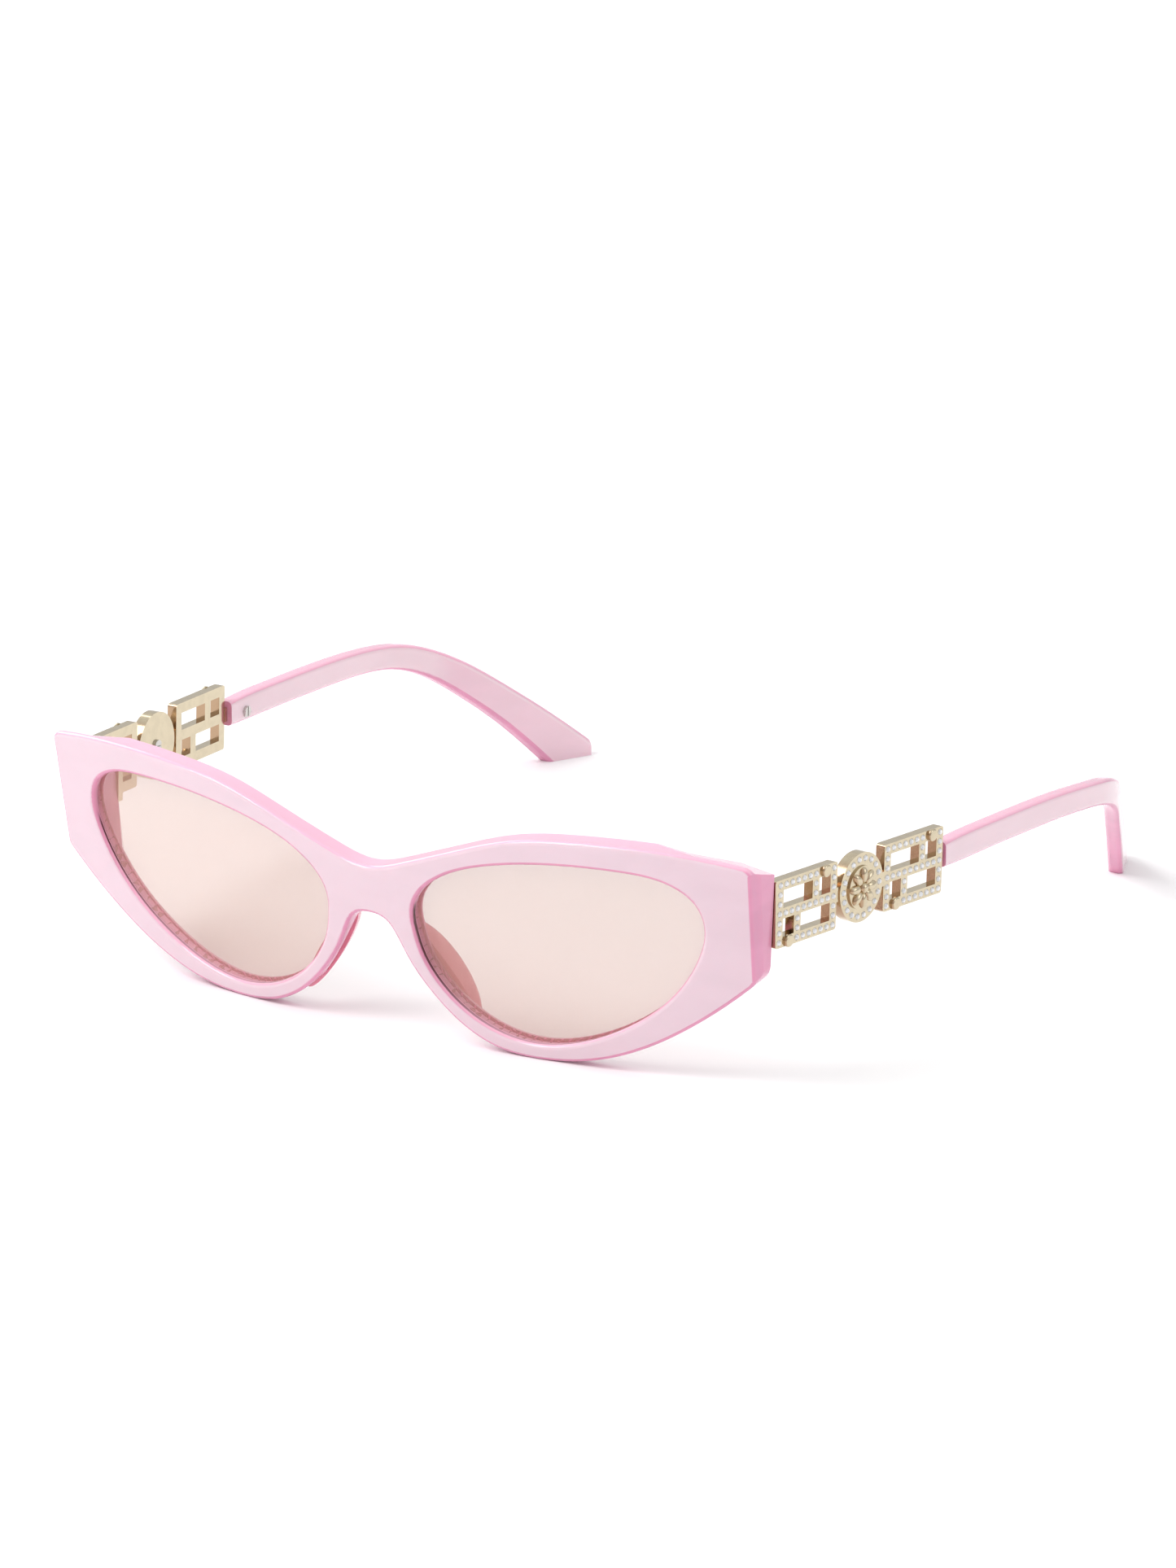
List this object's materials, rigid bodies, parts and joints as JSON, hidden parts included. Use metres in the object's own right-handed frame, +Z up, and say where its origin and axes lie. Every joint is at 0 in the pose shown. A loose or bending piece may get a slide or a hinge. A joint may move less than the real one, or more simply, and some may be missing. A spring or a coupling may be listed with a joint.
{
  "type": "sunglasses",
  "caption": "Folding cat-eye sunglasses: two-layer acetate front, tinted lenses, pierced metal links set with small stones, acetate arms that fold on screw hinges.",
  "frame": {"origin": "middle of the footprint, on the table that the rims and the arm tips rest on", "axes": "+X towards the wearer's left, +Y back along the arms, +Z up; the front faces -Y"},
  "size_m": [0.1576, 0.1598, 0.0432],
  "materials": {
    "shell_acetate": "polished pale pink acetate",
    "back_acetate": "polished deep pink acetate",
    "arm_acetate": "polished pale pink acetate",
    "tinted_lens": "pale rose brown tint",
    "champagne_metal": "pale polished plating",
    "hinge_metal": "satin",
    "clear_stone": "faceted, clear"
  },
  "bodies": {
    "front": {"front_shell": "shell_acetate", "front_back_layer": "back_acetate", "lens_left": "tinted_lens", "lens_right": "tinted_lens", "nose_pad_left": "back_acetate", "nose_pad_right": "back_acetate", "hinge_plate_left": "champagne_metal", "hinge_plate_right": "champagne_metal", "hinge_rivets_left": "hinge_metal", "hinge_rivets_right": "hinge_metal", "hinge_screw_left": "hinge_metal", "hinge_screw_right": "hinge_metal"},
    "temple_left": {"hinge_leaf_left": "champagne_metal", "link_front_left": "champagne_metal", "link_rear_left": "champagne_metal", "link_beads_left": "champagne_metal", "medallion_disc_left": "champagne_metal", "medallion_rosette_left": "champagne_metal", "medallion_screw_left": "hinge_metal", "crystals_link_front_left": "clear_stone", "crystals_link_rear_left": "clear_stone", "crystals_medallion_left": "clear_stone", "arm_left": "arm_acetate", "arm_tang_left": "champagne_metal", "arm_screw_left": "hinge_metal"},
    "temple_right": {"hinge_leaf_right": "champagne_metal", "link_front_right": "champagne_metal", "link_rear_right": "champagne_metal", "link_beads_right": "champagne_metal", "medallion_disc_right": "champagne_metal", "medallion_rosette_right": "champagne_metal", "medallion_screw_right": "hinge_metal", "crystals_link_front_right": "clear_stone", "crystals_link_rear_right": "clear_stone", "crystals_medallion_right": "clear_stone", "arm_right": "arm_acetate", "arm_tang_right": "champagne_metal", "arm_screw_right": "hinge_metal"}
  },
  "joints": [
    {"name": "temple_left_fold", "type": "hinge", "parent": "front", "child": "temple_left", "pos_m": [0.06912, -0.05976, 0.03089], "axis": [0.0038, 0.0442, 0.999], "range_deg": [0, 86]},
    {"name": "temple_right_fold", "type": "hinge", "parent": "front", "child": "temple_right", "pos_m": [-0.06912, -0.05976, 0.03089], "axis": [0.0038, -0.0442, -0.999], "range_deg": [0, 70]}
  ]
}
